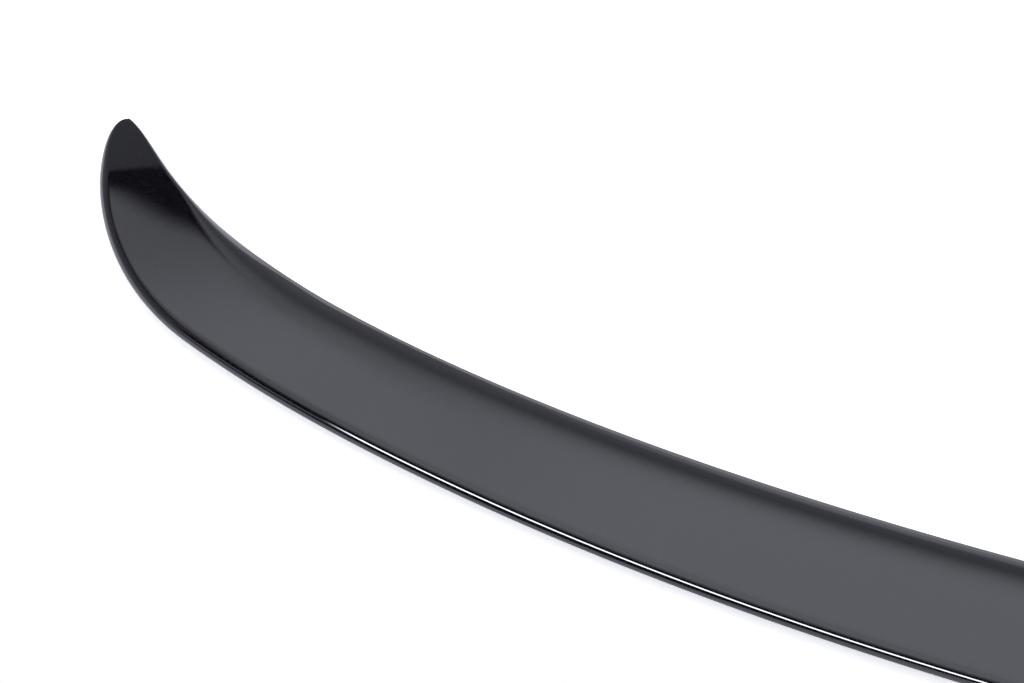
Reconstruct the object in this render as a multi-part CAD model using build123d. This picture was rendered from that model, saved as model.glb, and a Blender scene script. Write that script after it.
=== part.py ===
from build123d import *
import math
import os

# All sizes in millimetres: x to the car's right, y forward, z up.
# The origin is the middle of the footprint: on the surface that the underside follows,
# in the car's centre plane, halfway between the leading and the trailing edge.

# Plan
span = 1212.0  # from tip to tip
sweep = 235.0  # how far the tips reach forward of the trailing edge's middle
chord = 74.5  # front to back at the middle
tip_width = 2.8  # blunt end left at each tip

# The form of the boot lid, which the underside follows: crowned across the car, falling to the rear
lid_radius = 12000.0
lid_fall = 6.4  # degrees

# Section from the leading edge to the nose
edge_thickness = 3.0
edge_radius = 1.2
front_angle = 24.2  # degrees by which the front rises more than the panel, at the middle
front_roll = 17.0  # length over which the front rounds off into the panel, at the middle
panel_angle = 5.7  # degrees by which the panel rises from the lid to the nose, at the middle
nose_radius = 5.2  # along the trailing edge
nose_softness = 0.4  # how gently the nose shrinks where the ends get thin
undercut = 45.0  # degrees by which the rear wall leans in under the nose

# The same section at the ends, which have a short and steep front
end_start = 0.62  # share of each half where the section begins to change
end_full = 0.92  # share of each half where it has changed
end_front_angle = 49.0
end_front_roll = 5.5
end_panel_angle = 7.5
end_nose_radius = 5.0

# The upper face falls away to each tip, like part of a cone round a point outboard of the end
fall_out = 20.0  # from the tip to that point, outward
fall_back = 66.8  # and rearward
fall_start = -15.0  # degrees from straight inboard where the fall begins
fall_full = 45.0  # degrees from straight inboard where it has its full angle
fall_angle = 4.6  # degrees
fall_blend = 1.0  # softness of the crease between the front and the fall

# Underside
front_land = 15.0  # bonding land behind the leading edge
rear_land = 15.0  # bonding land ahead of the heel
roof = 3.0  # wall left above the hollow
hollow_reach = 0.86  # share of each half that is hollow
rib_count = 11
rib_thickness = 2.0
rib_gap = 1.5  # clear height between a rib and the lid

# Foam tape, set in shallow recesses of the two lands
tape_width = 10.0
tape_thickness = 1.1
tape_inset = 2.5  # from the outer edge of its land
tape_reach = 0.93  # share of each half that the tape covers
recess_depth = 0.6
recess_gap = 0.3  # clearance round the tape

# Fineness of the curves
loft_sections = 12  # in each half
strip_points = 6  # along each half of a tape's edge
top_points = 9  # along the upper face of a section
nose_parts = 4  # faces side by side round the nose
nose_points = 2  # steps across each of them
top_crowding = 1.4  # how much these points crowd towards the leading edge
nose_passes = 6  # rounds in which the nose finds its place on the upper face

half_span = span / 2.0
half_root_pi = math.sqrt(math.pi) / 2.0
stock = 22.0  # how far the blank goes on below the lid's surface before it is cut there
clear_height = 4.0 * stock  # of blocks that pass right through the part from below to above
clear_length = 3.0 * sweep  # of blocks that pass right through it from front to back
wall_run_out = 1.0  # the rear wall's slope goes on this far below the lid's surface, to be cut clean


def soft_min(a, b, softness):
    return (a + b - math.hypot(a - b, softness)) / 2.0


def ease(share):
    share = min(max(share, 0.0), 1.0)
    return share * share * (3.0 - 2.0 * share)


def plan_curve(y_start, x_end, handles):
    # Two cubic curves in a row; the handles are shares of the half span and of the reach forward
    reach = sweep - chord / 2.0 - y_start
    points = [(0.0, y_start)]
    for across, forward in handles:
        points.append((x_end * across, y_start + reach * forward))
    return Wire([Bezier(*points[:4]), Bezier(*points[3:])])


trailing_edge = plan_curve(
    -chord / 2.0,
    half_span + tip_width / 2.0,
    [(0.411, 0.0), (0.649, 0.197), (0.833, 0.378), (0.934, 0.476), (1.025, 0.86), (1.0, 0.997)],
)
leading_edge = plan_curve(
    chord / 2.0,
    half_span - tip_width / 2.0,
    [(0.388, 0.0), (0.661, 0.247), (0.808, 0.493), (0.919, 0.681), (0.942, 0.841), (1.0, 1.003)],
)


def lid_height(x, y):
    fall = math.radians(lid_fall)
    crown = math.sqrt(lid_radius**2 - x**2) - lid_radius
    return (crown + y * math.sin(fall)) / math.cos(fall)


def end_drop(flat):
    # How far the panel has fallen below its own plane at a place of the right half's plan
    inboard = half_span + fall_out - flat.X
    forward = flat.Y - (sweep - chord / 2.0 - fall_back)
    start = math.radians(fall_start)
    growth = math.radians(fall_full) - start
    turn = max(math.atan2(forward, inboard) - start, 0.0)
    if turn < growth:
        turned = turn**2 / (2.0 * growth)
    else:
        turned = turn - growth / 2.0
    return math.hypot(inboard, forward) * math.tan(math.radians(fall_angle)) * turned


class Station:
    # One upright cut from the leading edge (u = 0) to the trailing edge (u = width).
    # share runs from -1 at the left tip over 0 at the middle to 1 at the right tip.
    def __init__(self, share):
        self.side = math.copysign(1.0, share)
        self.share = abs(share)
        self.front = leading_edge.position_at(self.share)
        back = trailing_edge.position_at(self.share)
        self.width = (back - self.front).length
        self.along = (back - self.front).normalized()
        change = ease((self.share - end_start) / (end_full - end_start))
        self.roll = front_roll + (end_front_roll - front_roll) * change
        angle = front_angle + (end_front_angle - front_angle) * change
        self.front_rise = math.tan(math.radians(angle)) * self.roll * half_root_pi
        angle = panel_angle + (end_panel_angle - panel_angle) * change
        self.panel_slope = math.tan(math.radians(angle))
        self.wanted_radius = nose_radius + (end_nose_radius - nose_radius) * change
        self.place_nose()

    def plan(self, u):
        flat = self.front + self.along * u
        return Vector(self.side * flat.X, flat.Y, 0.0)

    def point(self, u, z):
        flat = self.plan(u)
        return Vector(flat.X, flat.Y, z + lid_height(flat.X, flat.Y))

    def top(self, u):
        # Height of the upper face above the lid: the rounded front, or the fallen panel where that is lower
        panel = edge_thickness + self.front_rise + self.panel_slope * u
        front = panel - self.front_rise * math.erfc(u / self.roll)
        drop = end_drop(self.front + self.along * u)
        return soft_min(front, panel - drop, min(fall_blend, drop / 2.0))

    def slope(self, u):
        step = 0.01
        return math.atan2(self.top(u + step) - self.top(u - step), 2.0 * step)

    def place_nose(self):
        # The round that turns the upper face into the rear wall, which leans in to the heel
        start = self.width
        for _ in range(nose_passes):
            self.radius = soft_min(self.wanted_radius, self.top(start) / 2.0, nose_softness)
            start = self.width - self.radius * (1.0 + math.sin(self.slope(start)))
        tilt = self.slope(start)
        self.nose_start = start
        self.nose_u = start + self.radius * math.sin(tilt)
        self.nose_z = self.top(start) - self.radius * math.cos(tilt)
        lean = math.radians(undercut)
        wall_u, wall_z = self.nose(-lean)
        self.heel = wall_u - wall_z * math.tan(lean)

    def nose(self, angle):
        return self.nose_u + self.radius * math.cos(angle), self.nose_z + self.radius * math.sin(angle)

    def nose_curve(self, first, last):
        # The round of the nose from one angle to another
        steps = [k / nose_points for k in range(nose_points + 1)]
        points = [self.point(*self.nose(first + (last - first) * step)) for step in steps]
        return Edge.make_spline(points, parameters=steps)

    def top_curve(self, first, last, drop):
        # The upper face from u = first to u = last, lowered by drop
        steps = [k / top_points for k in range(top_points + 1)]
        points = []
        for step in steps:
            u = first + (last - first) * step**top_crowding
            points.append(self.point(u, self.top(u) - drop))
        return Edge.make_spline(points, parameters=steps)


def spread(reach, count):
    # Shares from one end to the other, closer together towards the ends
    return [reach * math.sin(math.pi / 2.0 * k / count) for k in range(-count, count + 1)]


def outer_section(station):
    tilt = station.slope(0.0)
    edge_u = edge_radius * (1.0 - math.sin(tilt))
    edge_z = station.top(edge_u) - edge_radius * math.cos(tilt)
    turn = math.radians(45.0) + tilt / 2.0
    edge_foot = station.point(0.0, -stock)
    edge_low = station.point(0.0, edge_z)
    edge_mid = station.point(edge_radius * (1.0 - math.sin(turn)), edge_z + edge_radius * math.cos(turn))
    top = station.top_curve(edge_u, station.nose_start, 0.0)
    lean = math.radians(undercut)
    nose_top = math.radians(90.0) + station.slope(station.nose_start)
    turns = [nose_top - (nose_top + lean) * k / nose_parts for k in range(nose_parts + 1)]
    nose = [station.nose_curve(first, last) for first, last in zip(turns, turns[1:])]
    wall_low = station.point(station.heel - wall_run_out * math.tan(lean), -wall_run_out)
    wall_foot = station.point(station.heel - wall_run_out * math.tan(lean), -stock)
    return Wire(
        [
            Line(edge_foot, edge_low),
            ThreePointArc(edge_low, edge_mid, top @ 0),
            top,
            *nose,
            Line(nose[-1] @ 1, wall_low),
            Line(wall_low, wall_foot),
            Line(wall_foot, edge_foot),
        ]
    )


def hollow_section(station):
    first = front_land
    last = station.heel - rear_land
    inner_roof = station.top_curve(first, last, roof)
    front_foot = station.point(first, -stock)
    rear_foot = station.point(last, -stock)
    return Wire(
        [
            Line(front_foot, inner_roof @ 0),
            inner_roof,
            Line(inner_roof @ 1, rear_foot),
            Line(rear_foot, front_foot),
        ]
    )


def below_lid(rise):
    # Everything under the lid's surface, or under a parallel surface that lies higher by rise
    fall = math.radians(lid_fall)
    level = Plane(
        origin=(0.0, clear_length / 2.0 * math.cos(fall), clear_length / 2.0 * math.sin(fall)),
        x_dir=(1.0, 0.0, 0.0),
        z_dir=(0.0, -math.cos(fall), -math.sin(fall)),
    )
    radius = lid_radius + rise
    edge_x = span
    edge_y = math.sqrt(radius**2 - edge_x**2) - lid_radius
    floor = edge_y - clear_height / 2.0
    outline = Wire(
        [
            ThreePointArc((-edge_x, edge_y), (0.0, rise), (edge_x, edge_y)),
            Line((edge_x, edge_y), (edge_x, floor)),
            Line((edge_x, floor), (-edge_x, floor)),
            Line((-edge_x, floor), (-edge_x, edge_y)),
        ]
    )
    return extrude(level * Face(outline), clear_length, dir=level.z_dir)


def ribs():
    plates = []
    for k in range(1, rib_count + 1):
        station = Station(hollow_reach * (2.0 * k / (rib_count + 1) - 1.0))
        start = station.plan(0.0)
        end = station.plan(station.width)
        centre = Plane(origin=(start + end) / 2.0, x_dir=end - start, z_dir=(0.0, 0.0, 1.0))
        plates.append(centre * Box(station.width, rib_thickness, clear_height))
    return Compound(plates) - below_lid(rib_gap)


def strip(first, last, reach):
    # An upright block over the band between two curves; first and last give u at a station
    near = []
    far = []
    for share in spread(reach, strip_points):
        station = Station(share)
        near.append(station.plan(first(station)))
        far.append(station.plan(last(station)))
    outline = Wire([Spline(*near), Line(near[-1], far[-1]), Spline(*far), Line(far[0], near[0])])
    return extrude(Pos(0.0, 0.0, -clear_height / 2.0) * Face(outline), clear_height, dir=(0.0, 0.0, 1.0))


def front_strip(grow):
    reach = tape_reach + grow / half_span
    return strip(
        lambda station: tape_inset - grow,
        lambda station: tape_inset + tape_width + grow,
        reach,
    )


def rear_strip(grow):
    reach = tape_reach + grow / half_span
    return strip(
        lambda station: station.heel - tape_inset - tape_width - grow,
        lambda station: station.heel - tape_inset + grow,
        reach,
    )


def shell():
    blank = Solid.make_loft([outer_section(Station(share)) for share in spread(1.0, loft_sections)])
    hollow = Solid.make_loft([hollow_section(Station(share)) for share in spread(hollow_reach, loft_sections)])
    body = blank - below_lid(0.0) - (hollow - ribs())
    recess = below_lid(recess_depth)
    return body - (front_strip(recess_gap) & recess) - (rear_strip(recess_gap) & recess)


def tape(band):
    return (band & below_lid(recess_depth)) - below_lid(recess_depth - tape_thickness)


os.makedirs("parts", exist_ok=True)
export_step(shell(), "parts/spoiler_shell.step")
export_step(tape(front_strip(0.0)), "parts/front_tape.step")
export_step(tape(rear_strip(0.0)), "parts/rear_tape.step")
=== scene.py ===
import bpy
import math
import numpy as np
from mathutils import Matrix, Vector


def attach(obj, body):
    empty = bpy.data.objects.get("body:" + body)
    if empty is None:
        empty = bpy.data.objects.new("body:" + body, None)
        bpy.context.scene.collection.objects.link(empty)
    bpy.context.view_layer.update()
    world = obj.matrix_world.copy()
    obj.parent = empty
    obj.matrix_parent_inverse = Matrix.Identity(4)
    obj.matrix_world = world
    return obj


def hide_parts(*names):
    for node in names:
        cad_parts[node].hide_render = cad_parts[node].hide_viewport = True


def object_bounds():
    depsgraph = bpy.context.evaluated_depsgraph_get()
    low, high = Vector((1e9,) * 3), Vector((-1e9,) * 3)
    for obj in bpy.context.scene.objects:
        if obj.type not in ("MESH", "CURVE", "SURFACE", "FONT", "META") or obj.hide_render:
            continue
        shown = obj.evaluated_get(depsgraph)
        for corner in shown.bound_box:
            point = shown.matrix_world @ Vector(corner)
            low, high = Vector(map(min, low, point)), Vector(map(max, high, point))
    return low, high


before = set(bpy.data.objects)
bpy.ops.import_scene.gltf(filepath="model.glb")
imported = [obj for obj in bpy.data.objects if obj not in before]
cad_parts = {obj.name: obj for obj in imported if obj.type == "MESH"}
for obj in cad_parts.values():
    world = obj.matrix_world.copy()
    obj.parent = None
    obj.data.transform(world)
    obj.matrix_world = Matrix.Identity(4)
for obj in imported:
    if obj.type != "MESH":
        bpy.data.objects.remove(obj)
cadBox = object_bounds()
print("frame loaded:", sorted(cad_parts))

mm = 0.001


def hexLinear(code):
    parts = [int(code[k:k + 2], 16) / 255 for k in (1, 3, 5)]
    return [c / 12.92 if c <= 0.04045 else ((c + 0.055) / 1.055) ** 2.4 for c in parts] + [1.0]


def addNode(tree, kind, settings=None, inputs=None):
    node = tree.nodes.new(kind)
    for name, value in (settings or {}).items():
        setattr(node, name, value)
    for name, value in (inputs or {}).items():
        if isinstance(value, bpy.types.NodeSocket):
            tree.links.new(value, node.inputs[name])
        else:
            node.inputs[name].default_value = value
    return node


def newMaterial(name):
    material = bpy.data.materials.new(name)
    material.use_nodes = True
    material.node_tree.nodes.clear()
    return material, material.node_tree


def objectNoise(tree, size, detail, roughness=0.5):
    place = addNode(tree, "ShaderNodeTexCoord")
    noise = addNode(tree, "ShaderNodeTexNoise", {}, {
        "Vector": place.outputs["Object"], "Scale": 1 / (size * mm),
        "Detail": detail, "Roughness": roughness})
    return noise.outputs["Fac"]


def bumped(tree, height, strength, depth):
    bump = addNode(tree, "ShaderNodeBump", {}, {
        "Height": height, "Strength": strength, "Distance": depth * mm})
    return bump.outputs["Normal"]


def surface(tree, inputs):
    shader = addNode(tree, "ShaderNodeBsdfPrincipled", {}, inputs)
    addNode(tree, "ShaderNodeOutputMaterial", {}, {"Surface": shader.outputs["BSDF"]})


# the spoiler's form, in millimetres and degrees: the solid's sizes,
# with a curled leading edge and a finer front, crease and plan at the ends
form = {
    "span": 1212.0, "sweep": 235.0, "chord": 74.5, "tipWidth": 2.8,
    "lidRadius": 12000.0, "lidFall": 6.4,
    "edgeThickness": 3.0, "edgeRadius": 1.2, "undercut": 45.0,
    # section at the middle, and at the ends with their short steep front
    "frontAngle": 24.2, "frontRoll": 17.0, "panelAngle": 5.7, "noseRadius": 5.2, "noseSoftness": 0.4,
    "endFrontAngle": 49.0, "endFrontRoll": 5.5, "endPanelAngle": 7.5, "endNoseRadius": 5.0,
    "endStart": 0.62, "endFull": 0.92,
    "rollStart": 0.72, "rollFull": 0.90, "tipRoll": 3.0,  # the front stays long further out, then tightens
    "lipDrop": 0.45, "lipRoll": 7.0, "lipFull": 0.72, "lipGone": 0.78,  # the leading edge curls down a little
    # the upper face falls away to each tip like part of a cone
    "fallOut": 20.0, "fallBack": 66.8, "fallStart": -15.0, "fallFull": 45.0, "fallAngle": 4.6,
    "creaseSoft": 1.3, "creaseSharp": 6.0, "creaseStart": 0.84, "creaseFull": 0.98,  # grows sharp at the tip
    # underside
    "frontLand": 15.0, "rearLand": 15.0, "roof": 3.0, "hollowReach": 0.86,
    "ribCount": 11, "ribThickness": 2.0, "ribGap": 1.5,
    "tapeWidth": 10.0, "tapeThickness": 1.1, "tapeInset": 2.5, "tapeReach": 0.93,
    "recessDepth": 0.6, "recessGap": 0.3,
    # handles of the two plan curves, as shares of the half span and of the reach forward
    "trailing": [(0.4, 0.0), (0.694, 0.222), (0.843, 0.393), (0.974, 0.544), (1.025, 0.979), (1.0, 0.998)],
    "leading": [(0.388, 0.0), (0.676, 0.257), (0.82, 0.516), (0.932, 0.715), (0.962, 0.912), (1.0, 1.003)],
    # points along each stretch of a plan curve, passes that seat the nose, step for slopes and least depth
    "planPoints": 2000, "nosePasses": 6, "slopeStep": 0.01, "leastDepth": 1e-6,
}


def planCurve(yStart, xEnd, handles):
    reach = form["sweep"] - form["chord"] / 2 - yStart
    points = [np.array((0.0, yStart))]
    points += [np.array((xEnd * across, yStart + reach * forward)) for across, forward in handles]
    t = np.linspace(0, 1, form["planPoints"])[:, None]
    line = []
    for a, b, c, d in (points[:4], points[3:]):
        line.append((1 - t) ** 3 * a + 3 * (1 - t) ** 2 * t * b + 3 * (1 - t) * t ** 2 * c + t ** 3 * d)
    line = np.vstack((line[0], line[1][1:]))
    run = np.concatenate(([0.0], np.cumsum(np.hypot(*np.diff(line, axis=0).T))))
    return run / run[-1], line


def along(curve, share):
    return np.stack([np.interp(share, curve[0], curve[1][:, k]) for k in (0, 1)], axis=-1)


halfSpan = form["span"] / 2
trailingEdge = planCurve(-form["chord"] / 2, halfSpan + form["tipWidth"] / 2, form["trailing"])
leadingEdge = planCurve(form["chord"] / 2, halfSpan - form["tipWidth"] / 2, form["leading"])
erfc = np.vectorize(math.erfc)


def softMin(a, b, softness):
    return (a + b - np.hypot(a - b, softness)) / 2


def ease(share):
    share = np.clip(share, 0, 1)
    return share * share * (3 - 2 * share)


def lidHeight(x, y):
    fall = math.radians(form["lidFall"])
    crown = np.sqrt(form["lidRadius"] ** 2 - x ** 2) - form["lidRadius"]
    return (crown + y * math.sin(fall)) / math.cos(fall)


def endDrop(flat):  # how far the panel has fallen below its own plane
    inboard = halfSpan + form["fallOut"] - flat[:, 0]
    forward = flat[:, 1] - (form["sweep"] - form["chord"] / 2 - form["fallBack"])
    start = math.radians(form["fallStart"])
    growth = math.radians(form["fallFull"]) - start
    turn = np.maximum(np.arctan2(forward, inboard) - start, 0)
    turned = np.where(turn < growth, turn ** 2 / (2 * growth), turn - growth / 2)
    return np.hypot(inboard, forward) * math.tan(math.radians(form["fallAngle"])) * turned


class Sections:
    # many upright cuts at once: share holds one value per cut, -1 at the left tip to 1 at the right
    def __init__(self, share):
        self.side = np.where(share < 0, -1.0, 1.0)
        self.share = np.abs(share)
        self.front = along(leadingEdge, self.share)
        reach = along(trailingEdge, self.share) - self.front
        self.width = np.hypot(reach[:, 0], reach[:, 1])
        self.across = reach / self.width[:, None]
        self.change = ease((self.share - form["endStart"]) / (form["endFull"] - form["endStart"]))
        frontAngle = np.radians(self.between("frontAngle", "endFrontAngle"))
        frontRoll = self.between("frontRoll", "endFrontRoll")
        self.frontRise = np.tan(frontAngle) * frontRoll * math.sqrt(math.pi) / 2
        self.panelSlope = np.tan(np.radians(self.between("panelAngle", "endPanelAngle")))
        rolled = ease((self.share - form["rollStart"]) / (form["rollFull"] - form["rollStart"]))
        self.roll = form["frontRoll"] + (form["tipRoll"] - form["frontRoll"]) * rolled
        lipped = ease((form["lipGone"] - self.share) / (form["lipGone"] - form["lipFull"]))
        self.lip = form["lipDrop"] * lipped
        creased = ease((self.share - form["creaseStart"]) / (form["creaseFull"] - form["creaseStart"]))
        self.crease = form["creaseSoft"] + (form["creaseSharp"] - form["creaseSoft"]) * creased
        self.placeNose()

    def between(self, middle, end):
        return form[middle] + (form[end] - form[middle]) * self.change

    def top(self, u):
        panel = form["edgeThickness"] + self.frontRise + self.panelSlope * u
        curl = self.lip * erfc(u / form["lipRoll"])
        front = self.frontRise * erfc(u / self.roll) + curl + form["leastDepth"]
        drop = endDrop(self.front + self.across * u[:, None]) + form["leastDepth"]
        return panel - (front ** self.crease + drop ** self.crease) ** (1 / self.crease)

    def slope(self, u):
        step = form["slopeStep"]
        return np.arctan((self.top(u + step) - self.top(u - step)) / (2 * step))

    def placeNose(self):
        wanted = self.between("noseRadius", "endNoseRadius")
        start = self.width
        for _ in range(form["nosePasses"]):
            self.radius = softMin(wanted, self.top(start) / 2, form["noseSoftness"])
            start = self.width - self.radius * (1 + np.sin(self.slope(start)))
        self.noseStart = start
        self.tilt = self.slope(start)
        self.noseU = start + self.radius * np.sin(self.tilt)
        self.noseZ = self.top(start) - self.radius * np.cos(self.tilt)
        lean = math.radians(form["undercut"])
        wallU = self.noseU + self.radius * math.cos(lean)
        wallZ = self.noseZ - self.radius * math.sin(lean)
        self.heel = wallU - wallZ * math.tan(lean)

    def place(self, u, z):
        flat = self.front + self.across * u[:, None]
        height = z + lidHeight(flat[:, 0], flat[:, 1])
        return np.stack((self.side * flat[:, 0], flat[:, 1], height), axis=-1) * mm


# points nearer than this are joined, and faces thinner than this are taken out, in metres
weld = {"within": 0.00001, "sliver": 0.000001}


def loopPiece(name, loops, columnMaterial, materials, smoothAngle):
    # one closed skin from a row of loops, blunt at both ends
    points = np.array(loops + loops[:1]).transpose(1, 0, 2)
    rows, columns = points.shape[:2]
    bpy.ops.object.select_all(action="DESELECT")
    bpy.ops.mesh.primitive_grid_add(x_subdivisions=columns - 1, y_subdivisions=rows - 1, size=1)
    piece = bpy.context.object
    piece.name = name
    mesh = piece.data
    mesh.vertices.foreach_set("co", points.reshape(-1))
    for material in materials:
        mesh.materials.append(material)
    mesh.polygons.foreach_set("material_index", np.tile(np.array(columnMaterial, dtype=np.int32), rows - 1))
    mesh.update()
    bpy.ops.object.mode_set(mode="EDIT")
    bpy.ops.mesh.select_all(action="SELECT")
    bpy.ops.mesh.remove_doubles(threshold=weld["within"])
    bpy.ops.mesh.dissolve_degenerate(threshold=weld["sliver"])
    bpy.ops.mesh.select_all(action="DESELECT")
    bpy.ops.mesh.select_mode(type="EDGE")
    bpy.ops.mesh.select_non_manifold(extend=False, use_wire=False, use_boundary=True,
                                     use_multi_face=False, use_non_contiguous=False, use_verts=False)
    bpy.ops.mesh.fill_holes(sides=0)
    bpy.ops.mesh.select_all(action="SELECT")
    bpy.ops.mesh.normals_make_consistent(inside=False)
    bpy.ops.object.mode_set(mode="OBJECT")
    bpy.ops.object.shade_smooth_by_angle(angle=math.radians(smoothAngle))
    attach(piece, "root")
    print(name + ":", len(mesh.polygons), "faces")
    return piece


# gloss black lacquer on moulded ABS: sprayed and polished, so a clear mirror with a faint orange peel,
# a fine grain of dust nibs under the gloss and a little polishing haze
lacquer = {
    "colour": "#030304", "roughness": 0.03, "ior": 1.6,
    "nib": "#17171b", "nibSize": 0.8, "nibDetail": 1.0, "nibEnds": (0.42, 0.72),
    "haze": 0.012, "hazeSize": 60.0, "hazeDetail": 2.0, "hazeEnds": (0.35, 0.65),
    "peelSize": 3.0, "peelDetail": 2.0, "peelRoughness": 0.4, "peelStrength": 0.02, "peelDepth": 0.05,
}


def lacquerMaterial():
    material, tree = newMaterial("gloss black lacquer on ABS")
    nibs = objectNoise(tree, lacquer["nibSize"], lacquer["nibDetail"])
    nibShare = addNode(tree, "ShaderNodeMapRange", {}, {
        "Value": nibs, "From Min": lacquer["nibEnds"][0], "From Max": lacquer["nibEnds"][1]})
    colour = addNode(tree, "ShaderNodeMix", {"data_type": "RGBA"}, {  # its colours go in at 6 and 7, out at 2
        0: nibShare.outputs["Result"], 6: hexLinear(lacquer["colour"]), 7: hexLinear(lacquer["nib"])})
    cloud = objectNoise(tree, lacquer["hazeSize"], lacquer["hazeDetail"])
    haze = addNode(tree, "ShaderNodeMapRange", {}, {
        "Value": cloud, "From Min": lacquer["hazeEnds"][0], "From Max": lacquer["hazeEnds"][1],
        "To Min": lacquer["roughness"], "To Max": lacquer["roughness"] + lacquer["haze"]})
    peel = objectNoise(tree, lacquer["peelSize"], lacquer["peelDetail"], lacquer["peelRoughness"])
    surface(tree, {
        "Base Color": colour.outputs[2], "Roughness": haze.outputs["Result"], "IOR": lacquer["ior"],
        "Normal": bumped(tree, peel, lacquer["peelStrength"], lacquer["peelDepth"])})
    return material


# the unpainted underside: black ABS straight from a fine spark-eroded mould, so satin
mouldedAbs = {
    "colour": "#17181a", "roughness": 0.42, "ior": 1.54,
    "grainSize": 0.6, "grainDetail": 3.0, "grainStrength": 0.25, "grainDepth": 0.05,
}


def mouldedMaterial():
    material, tree = newMaterial("satin black moulded ABS")
    grain = objectNoise(tree, mouldedAbs["grainSize"], mouldedAbs["grainDetail"])
    surface(tree, {
        "Base Color": hexLinear(mouldedAbs["colour"]), "Roughness": mouldedAbs["roughness"],
        "IOR": mouldedAbs["ior"],
        "Normal": bumped(tree, grain, mouldedAbs["grainStrength"], mouldedAbs["grainDepth"])})
    return material


# how finely the skin is divided
skin = {
    "rows": 320, "edgeSteps": 8, "topSteps": 80, "crowding": 1.3,
    "noseSteps": 26, "roofSteps": 10, "smoothAngle": 34,
}


def skinRows():
    # rows of the skin from the left tip to the right, with the places where the underside steps
    ribHalf = form["ribThickness"] / 2 / halfSpan
    tapeEnd = form["tapeReach"] + form["recessGap"] / halfSpan
    bays = form["ribCount"] + 1
    ribs = [form["hollowReach"] * (2 * k / bays - 1) for k in range(1, bays)]
    breaks = [-1.0, -tapeEnd, -form["hollowReach"]]
    for rib in ribs:
        breaks += [rib - ribHalf, rib + ribHalf]
    breaks += [form["hollowReach"], tapeEnd, 1.0]
    even = np.sin(np.linspace(-math.pi / 2, math.pi / 2, skin["rows"]))
    shares, taped, hollow, ribbed = [], [], [], []
    for first, last in zip(breaks[:-1], breaks[1:]):
        middle = (first + last) / 2
        inside = [first] + [s for s in even if first < s < last] + [last]
        shares += inside
        taped += [abs(middle) < tapeEnd] * len(inside)
        hollow += [abs(middle) < form["hollowReach"]] * len(inside)
        ribbed += [min(abs(middle - rib) for rib in ribs) < ribHalf / 2] * len(inside)
    return np.array(shares), np.array(taped), np.array(hollow), np.array(ribbed)


def buildShell():
    shares, taped, hollow, ribbed = skinRows()
    cut = Sections(shares)
    zero = np.zeros_like(shares)
    loops = [cut.place(zero, zero)]
    edgeTilt = cut.slope(zero)
    edgeRadius = form["edgeRadius"]
    edgeU = edgeRadius * (1 - np.sin(edgeTilt))
    edgeZ = cut.top(edgeU) - edgeRadius * np.cos(edgeTilt)
    for k in range(skin["edgeSteps"] + 1):  # round of the leading edge
        angle = (math.pi / 2 - edgeTilt) * k / skin["edgeSteps"]
        loops.append(cut.place(edgeRadius * (1 - np.cos(angle)), edgeZ + edgeRadius * np.sin(angle)))
    for k in range(1, skin["topSteps"] + 1):  # upper face
        u = edgeU + (cut.noseStart - edgeU) * (k / skin["topSteps"]) ** skin["crowding"]
        loops.append(cut.place(u, cut.top(u)))
    lean = math.radians(form["undercut"])
    for k in range(1, skin["noseSteps"] + 1):  # nose, round to the rear wall
        angle = math.pi / 2 + cut.tilt - (math.pi / 2 + cut.tilt + lean) * k / skin["noseSteps"]
        u = cut.noseU + cut.radius * np.cos(angle)
        loops.append(cut.place(u, cut.noseZ + cut.radius * np.sin(angle)))
    loops.append(cut.place(cut.heel, zero))
    painted = len(loops) - 1

    # underside, from the heel back to the leading edge
    near = form["tapeInset"] - form["recessGap"]
    far = form["tapeInset"] + form["tapeWidth"] + form["recessGap"]
    recess = np.where(taped, form["recessDepth"], 0.0)
    recessSteps = ((near, zero), (near, recess), (far, recess), (far, zero))
    path = []
    for u, z in recessSteps:
        path.append((cut.heel - u, z))
    roofRear = cut.heel - form["rearLand"]
    roofFront = zero + form["frontLand"]
    path.append((roofRear, zero))
    for k in range(skin["roofSteps"] + 1):
        u = roofRear + (roofFront - roofRear) * k / skin["roofSteps"]
        depth = np.where(ribbed, form["ribGap"], cut.top(u) - form["roof"])
        path.append((u, np.where(hollow, depth, 0.0)))
    path.append((roofFront, zero))
    for u, z in reversed(recessSteps):
        path.append((zero + u, z))
    for k, (u, z) in enumerate(path):
        plainU = cut.heel * (1 - (k + 1) / (len(path) + 1))  # solid ends are evenly divided
        loops.append(cut.place(np.where(taped, u, plainU), z))

    columnMaterial = [0] * painted + [1] * (len(loops) - painted)
    materials = [lacquerMaterial(), mouldedMaterial()]
    shell = loopPiece("spoilerSkin", loops, columnMaterial, materials, skin["smoothAngle"])
    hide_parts("spoiler_shell")


# black foam tape along both lands
foam = {"colour": "#1d1d1e", "roughness": 0.85, "cellSize": 0.35, "cellStrength": 0.5, "cellDepth": 0.1}


def foamMaterial():
    material, tree = newMaterial("black acrylic foam")
    place = addNode(tree, "ShaderNodeTexCoord")
    cells = addNode(tree, "ShaderNodeTexVoronoi", {}, {
        "Vector": place.outputs["Object"], "Scale": 1 / (foam["cellSize"] * mm)})
    pores = bumped(tree, cells.outputs["Distance"], foam["cellStrength"], foam["cellDepth"])
    surface(tree, {"Base Color": hexLinear(foam["colour"]), "Roughness": foam["roughness"], "Normal": pores})
    return material


# the red film that keeps the tape's glue clean
film = {
    "colour": "#a3161c", "roughness": 0.28, "thickness": 0.1,
    "creaseSize": 22.0, "creaseDetail": 3.0, "creaseStrength": 0.3, "creaseDepth": 0.4,
}


def filmMaterial():
    material, tree = newMaterial("red polyethylene film")
    crease = objectNoise(tree, film["creaseSize"], film["creaseDetail"])
    waves = bumped(tree, crease, film["creaseStrength"], film["creaseDepth"])
    surface(tree, {"Base Color": hexLinear(film["colour"]), "Roughness": film["roughness"], "Normal": waves})
    return material


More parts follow.
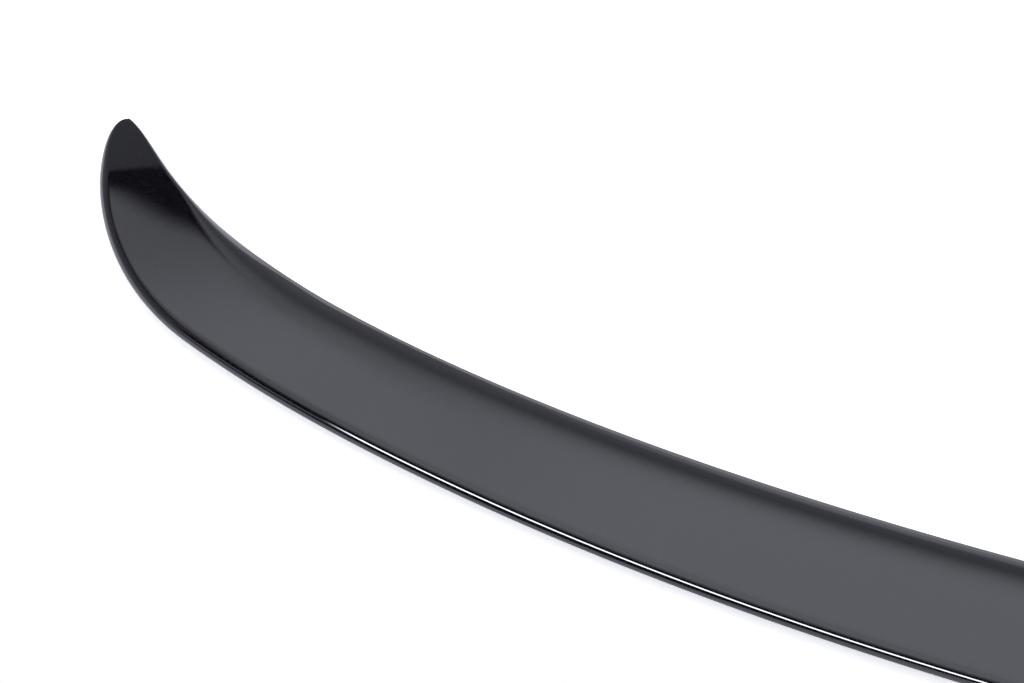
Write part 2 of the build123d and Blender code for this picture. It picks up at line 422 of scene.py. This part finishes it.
tape = {"rows": 160, "smoothAngle": 30}


def buildTapes():
    shares = form["tapeReach"] * np.sin(np.linspace(-math.pi / 2, math.pi / 2, tape["rows"]))
    cut = Sections(shares)
    zero = np.zeros_like(shares)
    high = zero + form["recessDepth"]
    low = high - form["tapeThickness"]
    filmTop = low + film["thickness"]
    materials = [foamMaterial(), filmMaterial()]
    near = {"front": zero + form["tapeInset"], "rear": cut.heel - form["tapeInset"] - form["tapeWidth"]}
    for land, u in near.items():
        far = u + form["tapeWidth"]
        corners = ((u, high), (far, high), (far, filmTop), (far, low), (u, low), (u, filmTop))
        loops = [cut.place(*corner) for corner in corners]
        piece = loopPiece(land + "TapeStrip", loops, [0, 0, 1, 1, 1, 0], materials, tape["smoothAngle"])
        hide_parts(land + "_tape")


buildShell()
buildTapes()

# pale table, lifted for the camera so that all but its deeper shadows are white
# its nearer edge runs close behind the trailing edge, so the nose mirrors little of the top
table = {
    "left": -2.0, "right": 2.0, "far": 3.0, "edge": -0.094, "edgeSlope": -0.22,  # places in metres
    "colour": "#f4f4f4", "lift": 0.5, "liftColour": "#ffffff",
}


def buildTable():
    bpy.ops.object.select_all(action="DESELECT")
    bpy.ops.mesh.primitive_plane_add(size=1, location=(0, 0, 0))
    floor = bpy.context.object
    floor.name = "table"
    for vertex in floor.data.vertices:
        vertex.co.x = table["left"] if vertex.co.x < 0 else table["right"]
        vertex.co.y = table["edge"] + table["edgeSlope"] * vertex.co.x if vertex.co.y < 0 else table["far"]
        vertex.co.z = cadBox[0][2]
    material, tree = newMaterial("white table")
    light = addNode(tree, "ShaderNodeLightPath")
    lift = addNode(tree, "ShaderNodeMath", {"operation": "MULTIPLY"}, {
        0: light.outputs["Is Camera Ray"], 1: table["lift"]})
    diffuse = addNode(tree, "ShaderNodeBsdfDiffuse", {}, {"Color": hexLinear(table["colour"])})
    glow = addNode(tree, "ShaderNodeEmission", {}, {
        "Color": hexLinear(table["liftColour"]), "Strength": lift.outputs["Value"]})
    both = addNode(tree, "ShaderNodeAddShader", {}, {0: diffuse.outputs["BSDF"], 1: glow.outputs["Emission"]})
    addNode(tree, "ShaderNodeOutputMaterial", {}, {"Surface": both.outputs["Shader"]})
    floor.data.materials.append(material)
    print("table at", round(cadBox[0][2] / mm, 2), "mm")


buildTable()

# studio round the table, by direction: height in degrees, and bearing in degrees from ahead to the right
# sideEnd, stripLeft, stripRight and glowEnd say how far the direction points right, from -1 to 1
studio = {
    "colour": "#f1f3ff", "seen": "#ffffff",
    # broad soft light ahead, hung higher towards the left, with a little light at its foot
    "front": 1.552, "frontFade": (20.7, 53.7), "frontFill": 0.43,
    "frontTilt": 7.3, "frontTiltEnds": (-6, -26),
    "foot": 0.44, "footTop": (10.2, 3.8), "footLeft": (-8, 0),
    # soft light on the left, with a sharp lower edge and a dark gap above the wall
    "turn": (-24.9, -17.5), "side": 1.837, "sideEdge": (39.5, 42.0),
    "sideStart": 0.54, "sideFade": (40, 50.9), "sideEnd": (-0.8, -0.2), "sideLeast": 0.39, "gap": 0.03,
    "wall": 0.50, "wallFall": -0.196, "wallFallEnds": (0, 30), "wallTop": (37.9, 36.8),
    # the light ahead reaches far round on the right; behind, soft light comes from high up
    "behindLeft": (-113, -125), "behindRight": (150, 168), "back": 1.74, "backFade": (22, 56),
    # narrow strip lamp low behind the camera, and its glow on the wall to the left
    "strip": 27.0, "stripTop": (12.0, 11.0), "stripFoot": (0.8, 1.4),
    "stripLeft": (-0.69, -0.65), "stripRight": (0.12, 0.08),
    "glow": 0.9, "glowTop": (8, 3), "glowFoot": (-9, -5), "glowEnd": (-0.64, -0.70),
}


def buildStudio():
    world = bpy.data.worlds.new("studio")
    bpy.context.scene.world = world
    world.use_nodes = True
    tree = world.node_tree
    tree.nodes.clear()
    place = addNode(tree, "ShaderNodeTexCoord")
    split = addNode(tree, "ShaderNodeSeparateXYZ", {}, {"Vector": place.outputs["Generated"]})
    x, y, z = [split.outputs[axis] for axis in "XYZ"]

    def calc(operation, *values):
        node = addNode(tree, "ShaderNodeMath", {"operation": operation}, dict(enumerate(values)))
        return node.outputs["Value"]

    def ramp(value, ends, top=1.0):
        node = addNode(tree, "ShaderNodeMapRange", {"interpolation_type": "SMOOTHSTEP"}, {
            "Value": value, "From Min": ends[0], "From Max": ends[1], "To Min": 0.0, "To Max": top})
        return node.outputs["Result"]

    def times(first, *others):
        for other in others:
            first = calc("MULTIPLY", first, other)
        return first

    def blend(share, first, second):
        return calc("MULTIPLY_ADD", share, calc("SUBTRACT", second, first), first)

    height = calc("DEGREES", calc("ARCSINE", z))
    bearing = calc("DEGREES", calc("ARCTAN2", x, y))
    behind = calc("ADD", ramp(bearing, studio["behindLeft"]), ramp(bearing, studio["behindRight"]))

    hung = calc("SUBTRACT", height, ramp(bearing, studio["frontTiltEnds"], studio["frontTilt"]))
    front = calc("ADD", ramp(hung, studio["frontFade"], studio["front"]), studio["frontFill"])
    foot = times(ramp(height, studio["footTop"], studio["foot"]), ramp(bearing, studio["footLeft"]))
    front = calc("ADD", front, foot)

    sideHeights = blend(ramp(height, studio["sideFade"]), studio["sideStart"], 1.0)
    sideEnd = blend(ramp(x, studio["sideEnd"]), studio["sideLeast"], 1.0)
    side = times(sideHeights, sideEnd, ramp(height, studio["sideEdge"]), studio["side"])
    wall = calc("ADD", ramp(height, studio["wallFallEnds"], studio["wallFall"]), studio["wall"])
    side = calc("ADD", side, times(wall, ramp(height, studio["wallTop"])))
    side = calc("ADD", side, studio["gap"])

    strip = times(ramp(height, studio["stripTop"], studio["strip"]), ramp(height, studio["stripFoot"]))
    strip = times(strip, ramp(x, studio["stripLeft"]), ramp(x, studio["stripRight"]))
    glow = times(ramp(height, studio["glowTop"], studio["glow"]), ramp(height, studio["glowFoot"]))
    glow = times(glow, ramp(x, studio["glowEnd"]))
    back = calc("ADD", ramp(height, studio["backFade"], studio["back"]), calc("ADD", strip, glow))

    total = blend(behind, blend(ramp(bearing, studio["turn"]), side, front), back)
    light = addNode(tree, "ShaderNodeLightPath")
    lit = addNode(tree, "ShaderNodeBackground", {}, {"Color": hexLinear(studio["colour"]), "Strength": total})
    white = addNode(tree, "ShaderNodeBackground", {}, {"Color": hexLinear(studio["seen"]), "Strength": 1.0})
    seen = addNode(tree, "ShaderNodeMixShader", {}, {
        "Fac": light.outputs["Is Camera Ray"], 1: lit.outputs["Background"], 2: white.outputs["Background"]})
    addNode(tree, "ShaderNodeOutputWorld", {}, {"Surface": seen.outputs["Shader"]})
    print("studio lit")


buildStudio()

# camera where the photograph was taken from, in degrees and metres, with its lens in millimetres
view = {
    "azimuth": 16.77, "elevation": 47.37, "distance": 1.00013, "target": (-0.35703, 0.10729, 0.0),
    "lens": 70.0, "sensor": 36.0, "nearest": 0.01,
}


def buildCamera():
    azimuth, elevation = math.radians(view["azimuth"]), math.radians(view["elevation"])
    level = math.cos(elevation)
    back = Vector((math.sin(azimuth) * level, -math.cos(azimuth) * level, math.sin(elevation)))
    data = bpy.data.cameras.new("photo view")
    data.lens = view["lens"]
    data.sensor_width = view["sensor"]
    data.clip_start = view["nearest"]
    camera = bpy.data.objects.new("photo view", data)
    camera.location = Vector(view["target"]) + back * view["distance"]
    camera.rotation_euler = back.to_track_quat("Z", "Y").to_euler()
    bpy.context.collection.objects.link(camera)
    bpy.context.scene.camera = camera
    print("camera placed")


buildCamera()

bpy.context.scene.view_settings.view_transform = "Standard"
